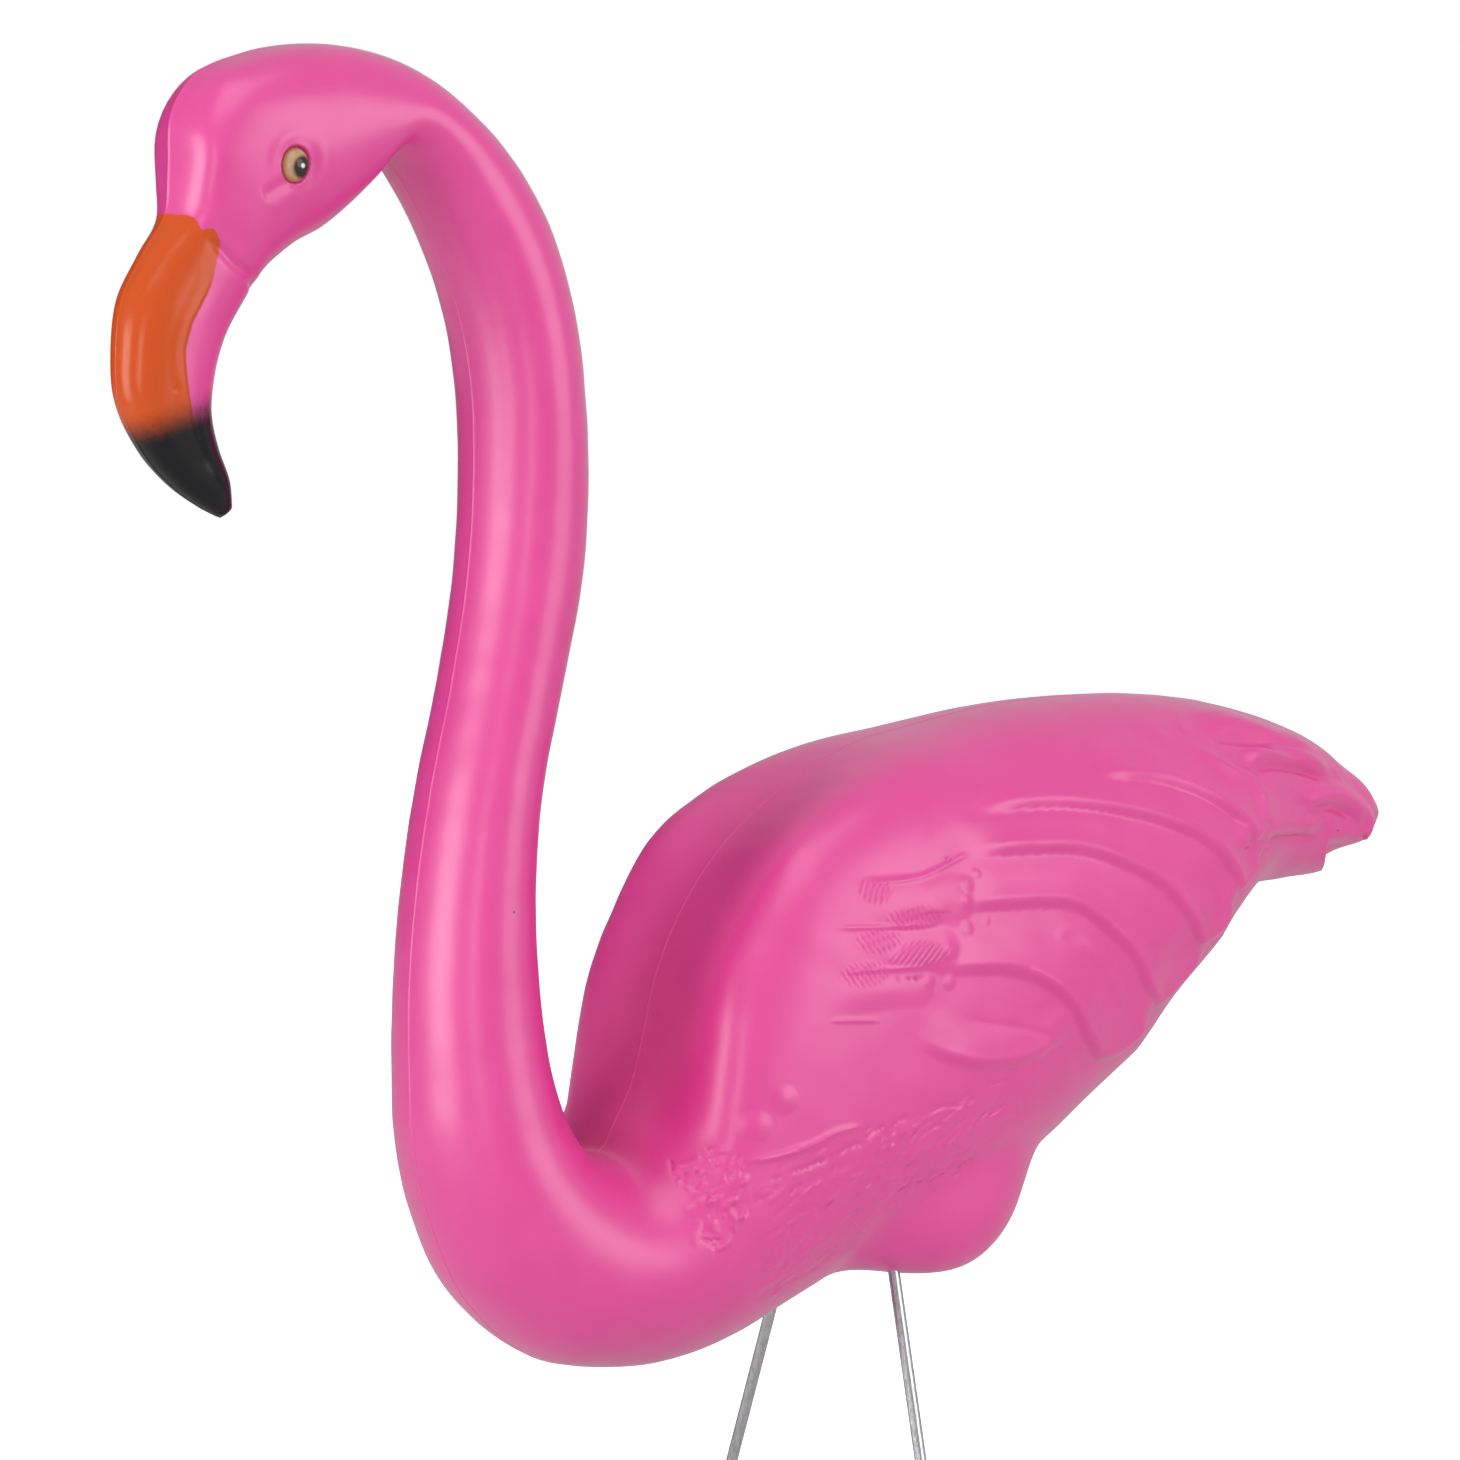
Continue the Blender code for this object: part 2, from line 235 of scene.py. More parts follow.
bird = {
    "height": 0.600,       # metres from the lowest point of the breast to the crown
    "clearance": 0.270,    # metres from the ground to the breast
    "legEntry": (6.5, 77, 35),     # where a leg goes in
    "legRake": math.radians(3.5),
    "curveSteps": 90,      # points along each half of a section's curve
    "tableStep": 3.0,      # thousandths between rows of the table of the skin
    "tableColumns": 72,    # columns from T round to B
    "cap": 1.4,            # how far the bill's tip and the tail's end round off
    "capRings": 4,
    "rowStep": 5.6,        # the mesh's first rows, before it is divided where it needs more
    "poleGap": 1.2,        # rows of the table between each end's pole and the mesh's next ring
    "halfColumns": 44,     # its columns from T round to B
    "seamLines": (0.7, 1.5, 2.8, 5.0),         # the columns next to a seam, by their distance from it
    "seamShares": (0.03, 0.06, 0.10, 0.15),    # and the most that each may be of the way round to B
    "rounds": 4,           # how many times the mesh may be divided
    "thigh": {"centre": (74, 68, 78), "reach": (126, 64, 100), "lift": 51},
}
share = bird["height"] / 1000


def place(points):
    # Thousandths to metres, with the leg ends on either side of the origin.
    entry = bird["legEntry"]
    forward = entry[0] * share - math.tan(bird["legRake"]) * (bird["clearance"] + entry[2] * share)
    return np.asarray(points, dtype=float) * share + (-forward, 0.0, bird["clearance"])


def smoothBetween(stations, values, wanted):
    # A smooth curve through the values, whose slope at each is that of the parabola through its neighbours.
    gaps = np.diff(stations)[:, None]
    rises = np.diff(values, axis=0) / gaps
    inner = (rises[:-1] * gaps[1:] + rises[1:] * gaps[:-1]) / (gaps[1:] + gaps[:-1])
    slopes = np.vstack([rises[:1], inner, rises[-1:]])
    index = np.clip(np.searchsorted(stations, wanted, side="right") - 1, 0, len(gaps) - 1)
    gap = gaps[index]
    at = ((wanted - stations[index])[:, None]) / gap
    start = (1 + 2 * at) * (1 - at) ** 2 * values[index] + at * (1 - at) ** 2 * gap * slopes[index]
    end = at**2 * (3 - 2 * at) * values[index + 1] + at**2 * (at - 1) * gap * slopes[index + 1]
    return start + end


def halfSection(row, count):
    # Points down the left side of a section from T to B, evenly spaced.
    halfWidth, widest, upper, lower, groove, ridge = row[4:]
    angle = np.linspace(0, math.pi / 2, bird["curveSteps"])
    outUp, up = np.sin(angle) ** (2 / upper), np.cos(angle) ** (2 / upper)
    outDown, down = np.sin(angle) ** (2 / lower), np.cos(angle) ** (2 / lower)
    up = up * (1 - ridge * outUp) + groove * np.cos(angle) * np.sin(angle) ** 2
    height = np.concatenate([widest + (1 - widest) * up, (widest - widest * down[::-1])[1:]])
    out = halfWidth * np.concatenate([outUp, outDown[::-1][1:]])
    length = math.hypot(row[0] - row[2], row[1] - row[3])
    way = np.concatenate([[0.0], np.cumsum(np.hypot(np.diff(height) * length, np.diff(out)))])
    even = np.linspace(0, way[-1], count + 1)
    height, out = np.interp(even, way, height), np.interp(even, way, out)
    x = row[2] + (row[0] - row[2]) * height
    z = row[3] + (row[1] - row[3]) * height
    return np.stack([x, -out, z], axis=1)


def capRings(ring, beyond):
    # Rings that close an end in a dome, from its pole to just before the end ring.
    centre = (ring[0] + ring[-1]) / 2
    rings = []
    for i in range(bird["capRings"]):
        angle = math.pi / 2 * (1 - i / bird["capRings"])
        rings.append(centre + (ring - centre) * math.cos(angle) + beyond * math.sin(angle))
    return rings


def makeSkinTable():
    # Each row of the table is one section's points from T to B. All are widest half-way. The lower half of a
    # slim one is an ellipse's, and it has no groove. The body has no ridge.
    slim = [row[:5] + (0.5, row[5], 2.0, 0.0, row[6]) for row in slimSections]
    sections = np.array(slim + [row[:5] + (0.5,) + row[5:] + (0.0,) for row in bodySections])
    steps = np.diff(sections[:, :4], axis=0)
    way = (np.hypot(steps[:, 0], steps[:, 1]) + np.hypot(steps[:, 2], steps[:, 3])) / 2
    stations = np.concatenate([[0.0], np.cumsum(way)])
    wanted = np.linspace(0, stations[-1], round(stations[-1] / bird["tableStep"]) + 1)
    rows = smoothBetween(stations, sections, wanted)
    rings = [halfSection(row, bird["tableColumns"]) for row in rows]
    tip = (rings[0].mean(axis=0) - rings[1].mean(axis=0)) * (1, 0, 1)
    end = (rings[-1].mean(axis=0) - rings[-2].mean(axis=0)) * (1, 0, 1)
    tip, end = [bird["cap"] * beyond / np.linalg.norm(beyond) for beyond in (tip, end)]
    table = np.array(capRings(rings[0], tip) + rings + capRings(rings[-1], end)[::-1])
    # One mirrored column beyond each seam lets the table be read smoothly across it.
    flip = np.array([1, -1, 1])
    table = np.concatenate([table[:, 1:2] * flip, table, table[:, -2:-1] * flip], axis=1)
    along = np.gradient(table, axis=0)
    around = np.gradient(table, axis=1)
    normals = np.cross(around, along)
    normals = normals / np.maximum(np.linalg.norm(normals, axis=2, keepdims=True), 1e-9)
    return table, normals


skinTable, skinNormals = makeSkinTable()
lastRow = len(skinTable) - 1


def spread(at):
    # The four weights of a smooth curve through evenly spaced values.
    return (
        (-at + 2 * at**2 - at**3) / 2,
        (2 - 5 * at**2 + 3 * at**3) / 2,
        (at + 4 * at**2 - 3 * at**3) / 2,
        (-(at**2) + at**3) / 2,
    )


def readTable(table, row, around):
    # Reads a table smoothly between its rows and columns. Around runs from 0 at T to 1 at B.
    column = around * bird["tableColumns"] + 1
    rowIndex = np.clip(row.astype(int), 0, lastRow - 1)
    columnIndex = np.clip(column.astype(int), 1, bird["tableColumns"])
    total = 0
    for i, rowShare in enumerate(spread(row - rowIndex)):
        for j, columnShare in enumerate(spread(column - columnIndex)):
            rows = np.clip(rowIndex + i - 1, 0, lastRow)
            columns = np.clip(columnIndex + j - 1, 0, bird["tableColumns"] + 2)
            total = total + table[rows, columns] * (rowShare * columnShare)[:, None]
    return total


def plainSkin(row, around, side):
    # The skin and its normal before any relief. Side is -1 on the left and 1 on the right.
    flip = np.stack([np.ones(len(side)), -side, np.ones(len(side))], axis=1)
    points = readTable(skinTable, row, around) * flip
    normals = readTable(skinNormals, row, around) * flip
    return points, normals / np.maximum(np.linalg.norm(normals, axis=1, keepdims=True), 1e-9)


# From here to the waves, all lengths and places are in thousandths, and all places are x and z.
# Each feather lies over the next one down: its lower edge from the root, then round its tip and up to the
# feather above. After the edge: the lip's height, how far back it slopes away, and how far from the edge's
# root and end it reaches its full height.
feathers = {
    "edges": [
        ([(340, 372), (352, 375), (364, 384), (370, 400), (368, 414), (360, 424), (339, 433), (315, 446),
          (286, 458)], 5.0, 34, 16, 60),
        ([(160, 431), (206, 430), (245, 426), (296, 409), (334, 387), (349, 374), (364, 381)],
         5.6, 40, 60, 14),
        ([(45, 409), (82, 415), (117, 416), (180, 409), (240, 395), (286, 376), (318, 350), (330, 337),
          (350, 344), (364, 358)], 5.6, 44, 60, 14),
        ([(32, 384), (94, 384), (153, 379), (192, 366), (234, 345), (268, 315), (287, 296), (310, 303),
          (330, 326)], 5.2, 44, 50, 18),
        ([(16, 345), (74, 345), (140, 337), (168, 320), (201, 294), (222, 266), (240, 252), (275, 262),
          (304, 288)], 5.0, 44, 50, 22),
        ([(-8, 298), (43, 298), (76, 294), (108, 281), (130, 265), (158, 233), (178, 217), (202, 216),
          (227, 228), (240, 246)], 4.8, 42, 50, 22),
        ([(-32, 254), (2, 237), (32, 228), (65, 224), (97, 227), (128, 237), (150, 242)], 3.6, 36, 60, 50),
        ([(128, 312), (150, 302), (172, 281), (182, 258)], 1.2, 18, 24, 24),
        ([(312, 460), (367, 455), (408, 442), (450, 430), (486, 417)], 7.6, 22, 50, 60),
        ([(346, 433), (381, 433), (412, 430), (450, 421), (480, 410)], 7.2, 16, 30, 40),
        ([(424, 389), (462, 394), (484, 391), (504, 381), (516, 369)], 6.8, 22, 30, 20),
        ([(345, 372), (359, 375), (386, 377), (430, 373), (460, 371)], 4.8, 30, 14, 24),
    ],
    "step": (-4.5, 8.0),   # where the step up to the lip starts and ends
    "boost": 1.5,      # makes up for what the fall takes off the lip's height
    "fall": 16.0,      # how soon the feather sinks away behind its lip
    "hold": 0.5,       # share of the way back at which it starts to end
}
# The short coverts at the front of the wing are rounded fingers: root, tip, half-width and lift.
fingers = {
    "rows": [
        ((-96, 356), (16, 353), 22, 2.6),
        ((-104, 318), (2, 317), 19, 2.3),
        ((-112, 291), (-20, 290), 16, 1.7),
    ],
    "fullness": 1.6,       # less is fuller across
    "rise": 0.6,           # share of the length over which a finger rises from its root
}
# Small swellings, and the hollow of the wing's lower outline: x, z, radius and lift.
knobs = {
    "places": [
        (280, 264, 62, -6.0),
        (30, 364, 8, 1.0), (27, 351, 7, 0.9), (40, 371, 5, 0.7), (27, 331, 7, 1.0), (46, 335, 5, 0.5),
        (8, 316, 9, 1.0), (9, 292, 7, 0.9), (-10, 295, 7, 0.7),
        (-136, 215, 12, 1.6), (-158, 197, 13, 1.8),
    ],
    "fullness": 1.5,
}
# Fine barbs on the coverts: centre, half-size, direction across them and depth.
barbs = {
    "patches": [
        ((-20, 343), (27, 10), (0.84, 0.54), 0.8),
        ((-52, 364), (15, 10), (-0.88, 0.47), 0.7),
        ((-18, 315), (28, 10), (-0.72, 0.69), 0.8),
        ((-66, 304), (22, 10), (0.84, 0.54), 0.6),
        ((-54, 328), (20, 10), (0.84, 0.54), 0.7),
    ],
    "edge": (1.15, 0.55),  # where a patch starts and where it is full, 1 being its half-size
    "lift": 0.2,
    "spacing": 4.2,
}
# Lines cut in or standing out: points, height and half-width.
lines = {
    "paths": [
        ([(-99, 271), (-80, 270), (-55, 268)], 0.9, 1.5),
        ([(20, 266), (43, 260), (78, 253), (130, 238)], -0.6, 3.0),
        ([(-62, 370), (-41, 370), (-6, 373), (20, 381), (42, 389)], 1.3, 2.0),
        ([(-90, 339), (-40, 337), (2, 336)], 1.0, 1.9),
        ([(-90, 306), (-40, 306), (-10, 305)], 0.9, 1.9),
        ([(-172, 172), (-148, 173), (-113, 181), (-95, 188), (-66, 192)], 1.5, 2.6),
        ([(-566, 846), (-556, 839), (-544, 828), (-530, 820), (-512, 808)], -2.6, 4.0),
        ([(318, 455), (360, 450), (400, 439), (440, 429)], -2.7, 3.2),
        ([(352, 428), (390, 428), (430, 422), (470, 410)], -2.6, 3.0),
        ([(428, 386), (462, 389), (484, 385), (504, 375)], -2.6, 3.0),
        ([(350, 368), (386, 371), (430, 368), (458, 366)], -2.2, 2.6),
        ([(-504, 885), (-513, 883), (-521, 879), (-530, 873)], -1.5, 5.0),
        ([(-496, 878), (-508, 873), (-522, 864)], 0.5, 4.5),
    ],
    "reach": 3,            # half-widths from a line at which it has died away
    "ends": 0.2,           # share of the length over which each end fades
}
eye = {
    "centre": (-504.5, 896.5),
    "reach": (10.3, 11.7),         # half-width and half-height
    "out": 54.6,                   # how far the eyeball stands out from the middle of the head
    "depth": 9.0,                  # its half-depth
    "overlap": 0.6,                # how far it reaches into the skin round it
    "rings": 40, "sides": 56,
    "pupil": (-501.5, 894.5), "pupilRadius": 8.4,
    # A white dot painted on the pupil as a highlight, standing in for a light's reflection: its middle and
    # radius.
    "paintedHighlight": (-502.0, 895.5), "paintedHighlightRadius": 1.7,
    "socket": 5.5,                 # how deep the skin sinks round the eyeball
    "socketEdge": (1.22, 0.92),    # where it starts and where it is that deep, 1 being the eye's rim
    # brow, hollow and fold behind it: height, direction in degrees, sharpness, how far out and half-width
    "folds": [(1.2, 130, 2, 1.75, 0.42), (-1.5, -5, 1.5, 1.35, 0.45), (1.0, -5, 1.5, 2.25, 0.6)],
}
# The edge of the orange paint on the bill, from the front seam round the mouth to the black tip.
paintEdge = [
    (-600, 870), (-588, 867), (-580, 862), (-575, 861), (-571, 856), (-569, 851), (-566, 852), (-562, 852),
    (-558, 847), (-555, 840), (-557, 833), (-559, 825), (-562, 813),
    (-570, 798), (-576, 787), (-579, 777), (-581, 768), (-580, 756), (-578, 743), (-575, 730), (-571, 716),
    (-566, 700), (-560, 680),
]
bill = {
    "fadeLevel": 731.0,        # middle of the fade to black
    "fadeFront": -553.0,       # before this x the fade runs down towards the front
    "fadeSlope": 0.35,
    "lip": 0.8,                # how far the upper half stands out over the lower one
    "lipStart": (0.30, 0.42),  # shares of the way along the paint's edge where the lip rises
    "lipEnd": (0.95, 0.8),     # and dies away
    "lipStep": (0.5, -3.5),    # distances from the edge where it steps up
    "lipFade": (14, 5),        # and sinks back into the bill
    "dent": (-587, 742), "dentDepth": 1.0, "dentRadius": 2.2,
}
# Plumage strokes on the belly and breast: where they lie, their number, slope, how much it varies, length,
# half-width and height.
plumage = {
    "areas": [
        {
            "corners": [(-160, 166), (-34, 192), (70, 218), (86, 184), (38, 140), (-40, 112), (-108, 66),
                        (-140, 66)],
            "count": 210, "slope": 0.5, "turn": 0.22,
            "length": (12, 38), "width": (1.2, 2.4), "height": (-0.9, 0.8),
        },
        {
            "corners": [(-208, 150), (-204, 170), (-186, 182), (-168, 172), (-166, 136), (-182, 104),
                        (-202, 112)],
            "count": 70, "slope": 0.75, "turn": 0.6,
            "length": (7, 20), "width": (1.2, 2.2), "height": (-1.2, 1.4),
        },
    ],
    "bend": 0.02,
    "margin": 4,           # how far beyond its ends a stroke is looked for
    "hold": 0.5,           # share of the half-length at which it starts to fade
    "seed": 5,
}
# Behind the lowest feather of the tail the skin steps in.
notch = {
    "depth": 10.5,
    "start": (505, 513),   # x where it starts and is full, and where it ends
    "end": (560, 522),
    "slant": 0.727,        # how much further forward it starts for each thousandth out from the middle
    "level": (366, 348),   # z where it starts and is full
    "top": 400,            # none of it is above this
}
seam = {"height": 0.5, "width": 1.1}
waves = {"depth": 0.16, "spacing": 64.0}
# Relief fades out where the skin turns up or down, at these sideways parts of its normal.
sideways = {"body": (0.1, 0.4), "head": (0.2, 0.6), "headBehind": -400}


def smoothStep(low, high, value):
    # Rises from 0 at the first value to 1 at the second one, or falls when the second one is the lower.
    at = np.clip((value - low) / (high - low), 0, 1)
    return at * at * (3 - 2 * at)


def smoothCurve(through, count):
    through = np.array(through, dtype=float)
    stations = np.concatenate([[0.0], np.cumsum(np.hypot(*np.diff(through, axis=0).T))])
    return smoothBetween(stations, through, np.linspace(0, stations[-1], count))


def fromEdge(x, z, curve):
    # How far each place is from the curve, below zero on its right, and how far along the curve that is.
    nearest = np.full(x.shape, np.inf)
    side = np.ones(x.shape)
    along = np.zeros(x.shape)
    for i, ((x0, z0), (x1, z1)) in enumerate(zip(curve[:-1], curve[1:])):
        dx, dz = x1 - x0, z1 - z0
        part = np.clip(((x - x0) * dx + (z - z0) * dz) / (dx * dx + dz * dz), 0, 1)
        away = np.hypot(x - x0 - part * dx, z - z0 - part * dz)
        closer = away < nearest
        nearest = np.where(closer, away, nearest)
        side = np.where(closer, np.sign(dx * (z - z0) - dz * (x - x0)), side)
        along = np.where(closer, (i + part) / (len(curve) - 1), along)
    return nearest * side, along


def nearCurve(points, through, reach):
    # The points within reach of a curve's box, and how they lie to the curve.
    curve = smoothCurve(through, 6 * len(through))
    low, high = curve.min(axis=0) - reach, curve.max(axis=0) + reach
    x, z = points[:, 0], points[:, 2]
    near = np.flatnonzero((x > low[0]) & (x < high[0]) & (z > low[1]) & (z < high[1]))
    away, along = fromEdge(x[near], z[near], curve)
    return near, away, along


def swelling(points, bump):
    oneSide = points * (1, 0, 1) + np.abs(points) * (0, 1, 0)
    away = (((oneSide - bump["centre"]) / bump["reach"]) ** 2).sum(axis=1)
    return bump["lift"] * np.clip(1 - away, 0, None) ** 2


def addFeathers(points, heights):
    # Cubes are added so that one feather runs smoothly into the next without doubling its height.
    cubes = np.zeros(len(points))
    for edge, lip, band, root, end in feathers["edges"]:
        near, inside, _ = nearCurve(points, edge, band)
        slope = np.exp(-np.clip(inside, 0, None) / feathers["fall"])
        slope = slope * smoothStep(band, feathers["hold"] * band, inside)
        rise = feathers["boost"] * lip * slope * smoothStep(*feathers["step"], inside)
        for (x, z), reach in ((edge[0], root), (edge[-1], end)):
            rise *= smoothStep(0, reach, np.hypot(points[near, 0] - x, points[near, 2] - z))
        cubes[near] += rise**3
    heights += np.cbrt(cubes)


def addFingers(points, heights):
    for root, tip, wide, lift in fingers["rows"]:
        near, away, along = nearCurve(points, [root, tip], wide)
        dome = np.clip(1 - (away / wide) ** 2, 0, 1) ** fingers["fullness"]
        heights[near] += lift * dome * smoothStep(0, fingers["rise"], along)


def addKnobs(points, heights):
    for x, z, radius, lift in knobs["places"]:
        away = np.hypot(points[:, 0] - x, points[:, 2] - z) / radius
        heights += lift * np.clip(1 - away**2, 0, None) ** knobs["fullness"]


def addBarbs(points, heights):
    x, z = points[:, 0], points[:, 2]
    for (cx, cz), (wide, tall), across, depth in barbs["patches"]:
        away = np.sqrt(((x - cx) / wide) ** 2 + ((z - cz) / tall) ** 2)
        mask = smoothStep(*barbs["edge"], away)
        phase = (x * across[0] + z * across[1]) * 2 * math.pi / barbs["spacing"]
        heights += mask * (barbs["lift"] + depth * (0.5 + 0.5 * np.sin(phase)) ** 2)


def addLines(points, heights):
    ends = lines["ends"]
    for through, height, wide in lines["paths"]:
        near, away, along = nearCurve(points, through, lines["reach"] * wide)
        fade = smoothStep(0, ends, along) * smoothStep(1, 1 - ends, along)
        heights[near] += height * fade * np.exp(-((away / wide) ** 2))


def eyeDistance(points):
    # 1 at the rim of the eye, on either side of the head.
    (x, z), (wide, tall) = eye["centre"], eye["reach"]
    return np.hypot((points[:, 0] - x) / wide, (points[:, 2] - z) / tall)


def addSocket(points, heights):
    away = eyeDistance(points)
    turn = np.arctan2(points[:, 2] - eye["centre"][1], points[:, 0] - eye["centre"][0])
    heights -= eye["socket"] * smoothStep(*eye["socketEdge"], away)
    for height, direction, power, ring, wide in eye["folds"]:
        there = np.clip(np.cos(turn - math.radians(direction)), 0, 1) ** power
        heights += height * there * np.exp(-(((away - ring) / wide) ** 2))


def insideCorners(x, z, corners):
    inside = np.zeros(x.shape, dtype=bool)
    for (x0, z0), (x1, z1) in zip(corners, corners[1:] + corners[:1]):
        crosses = (z0 > z) != (z1 > z)
        inside ^= crosses & (x < (x1 - x0) * (z - z0) / (z1 - z0 + 1e-9) + x0)
    return inside


def addPlumage(points, heights):
    draw = np.random.default_rng(plumage["seed"])
    x, z = points[:, 0], points[:, 2]
    for area in plumage["areas"]:
        corners = np.array(area["corners"], dtype=float)
        made = 0
        while made < area["count"]:
            cx, cz = draw.uniform(corners.min(axis=0), corners.max(axis=0))
            if not insideCorners(np.array([cx]), np.array([cz]), area["corners"])[0]:
                continue
            made += 1
            angle = math.atan(area["slope"]) + draw.normal(0, area["turn"])
            half = draw.uniform(*area["length"]) / 2
            wide = draw.uniform(*area["width"])
            height = draw.uniform(*area["height"])
            bend = draw.uniform(-plumage["bend"], plumage["bend"])
            reach = half + plumage["margin"]
            near = np.flatnonzero((np.abs(x - cx) < reach) & (np.abs(z - cz) < reach))
            u = (x[near] - cx) * math.cos(angle) + (z[near] - cz) * math.sin(angle)
            v = (z[near] - cz) * math.cos(angle) - (x[near] - cx) * math.sin(angle) + bend * u * u
            fade = smoothStep(half, half * plumage["hold"], np.abs(u))
            heights[near] += height * np.exp(-((v / wide) ** 2)) * fade


def addBill(points, heights):
    # The upper half of the bill stands a little proud of the lower one along the mouth.
    near, away, along = nearCurve(points, paintEdge, bill["lipFade"][0])
    mouth = smoothStep(*bill["lipStart"], along) * smoothStep(*bill["lipEnd"], along)
    across = smoothStep(*bill["lipStep"], away) * smoothStep(*bill["lipFade"], -away)
    heights[near] += bill["lip"] * mouth * across
    dent = np.hypot(points[:, 0] - bill["dent"][0], points[:, 2] - bill["dent"][1])
    heights -= bill["dentDepth"] * np.exp(-((dent / bill["dentRadius"]) ** 2))


def addNotch(points, heights):
    x, z = points[:, 0] + notch["slant"] * np.abs(points[:, 1]), points[:, 2]
    length = smoothStep(*notch["start"], x) * smoothStep(*notch["end"], x)
    heights -= notch["depth"] * length * smoothStep(*notch["level"], z) * (z < notch["top"])


def reliefOf(points, normals):
    # How far the skin stands out at each point, in thousandths.
    body = np.zeros(len(points))
    for add in (addFeathers, addFingers, addKnobs, addBarbs, addLines, addPlumage):
        add(points, body)
    head = np.zeros(len(points))
    for add in (addSocket, addBill):
        add(points, head)
    facing = np.abs(normals[:, 1])
    total = swelling(points, bird["thigh"]) + body * smoothStep(*sideways["body"], facing)
    total += head * smoothStep(*sideways["head"], facing) * (points[:, 0] < sideways["headBehind"])
    addNotch(points, total)
    total += seam["height"] * np.exp(-((points[:, 1] / seam["width"]) ** 2))
    # The odd factors keep the faint waves of the moulding from repeating.
    x, y, z = (points * 2 * math.pi / waves["spacing"]).T
    long = np.sin(x + 1.7 * np.sin(0.6 * z))
    short = np.sin(0.8 * z + 1.3 * np.sin(0.7 * y + 0.5 * x))
    return total + waves["depth"] * long * short


# The longest edges that the mesh may have, and where.
fineness = {
    "slack": 1.3,              # an edge is divided when it is this many times too long
    "plain": 7.6,
    # boxes round the tail's end, the coverts and the bill: x from and to, z from and to, and the longest edge
    "boxes": [(455, 600, 0, 380, 3.0), (-128, 48, 268, 380, 3.0), (-700, -480, 0, 870, 4.0)],
    "feathers": 2.9,
    "featherReach": (-7, 12),  # outside and inside a feather's edge
    "lines": 1.7,
    "lineReach": 2,            # half-widths
    "paintEdge": 1.9,
    "paintReach": 5,
    "knobs": 2.0,
    "hollows": 4.0,            # for knobs of this radius or more
    "hollowFrom": 20,
    "barbs": 1.25,
    "plumage": 2.7,
    "eye": [(2.8, 2.2), (1.8, 1.2)],   # how far from its middle, 1 being the rim, and the longest edge
}


def finenessAt(points):
    # The longest edge that the mesh may have at each point.
    longest = np.full(len(points), fineness["plain"])
    x, z = points[:, 0], points[:, 2]

    def refine(chosen, fine):
        longest[chosen] = np.minimum(longest[chosen], fine)

    for left, right, low, high, fine in fineness["boxes"]:
        refine((x > left) & (x < right) & (z > low) & (z < high), fine)
    outside, inside = fineness["featherReach"]
    for edge, *_ in feathers["edges"]:
        near, away, _ = nearCurve(points, edge, inside)
        refine(near[(away > outside) & (away < inside)], fineness["feathers"])
    for through, _, wide in lines["paths"]:
        near, away, _ = nearCurve(points, through, lines["reach"] * wide)
        refine(near[np.abs(away) < fineness["lineReach"] * wide], fineness["lines"])
    near, away, _ = nearCurve(points, paintEdge, fineness["paintReach"] + 1)
    refine(near[np.abs(away) < fineness["paintReach"]], fineness["paintEdge"])
    for kx, kz, radius, _ in knobs["places"]:
        fine = fineness["knobs"] if radius < fineness["hollowFrom"] else fineness["hollows"]
        refine(np.hypot(x - kx, z - kz) < radius + 2, fine)
    for (cx, cz), (wide, tall), _, _ in barbs["patches"]:
        refine(((x - cx) / wide) ** 2 + ((z - cz) / tall) ** 2 < 1.2, fineness["barbs"])
    for area in plumage["areas"]:
        refine(insideCorners(x, z, area["corners"]), fineness["plumage"])
    for reach, fine in fineness["eye"]:
        refine(eyeDistance(points) < reach, fine)
    return longest


def firstMesh():
    # Rows of points round the bird, closer together beside the two seams, as a mesh that knows its places.
    rows, arounds, sides, faces = [], [], [], []
    count = round(lastRow * bird["tableStep"] / bird["rowStep"])
    wanted = np.linspace(bird["poleGap"], lastRow - bird["poleGap"], count)
    lengths = np.linalg.norm(np.diff(skinTable[:, 1:-1], axis=1), axis=2).sum(axis=1)
    for row in wanted:
        half = np.interp(row, np.arange(len(lengths)), lengths)
        beside = np.minimum(np.array(bird["seamLines"]), half * np.array(bird["seamShares"])) / half
        middle = np.linspace(beside[-1], 1 - beside[-1], bird["halfColumns"] - 2 * len(beside) + 1)
        left = np.concatenate([[0.0], beside[:-1], middle, 1 - beside[:-1][::-1], [1.0]])
        arounds += list(left) + list(left[-2:0:-1])
        sides += [-1.0] * len(left) + [1.0] * (len(left) - 2)
        rows += [row] * (2 * len(left) - 2)
    size = len(rows) // len(wanted)
    for i in range(len(wanted) - 1):
        for j in range(size):
            a, b = i * size + j, i * size + (j + 1) % size
            faces.append((a, b, b + size, a + size))
    last = len(rows)
    rows += [0.0, float(lastRow)]
    arounds += [0.5, 0.5]
    sides += [-1.0, -1.0]
    for j in range(size):
        faces.append((last, (j + 1) % size, j))
        faces.append((last + 1, last - size + j, last - size + (j + 1) % size))
    return np.array(rows), np.array(arounds), np.array(sides), faces


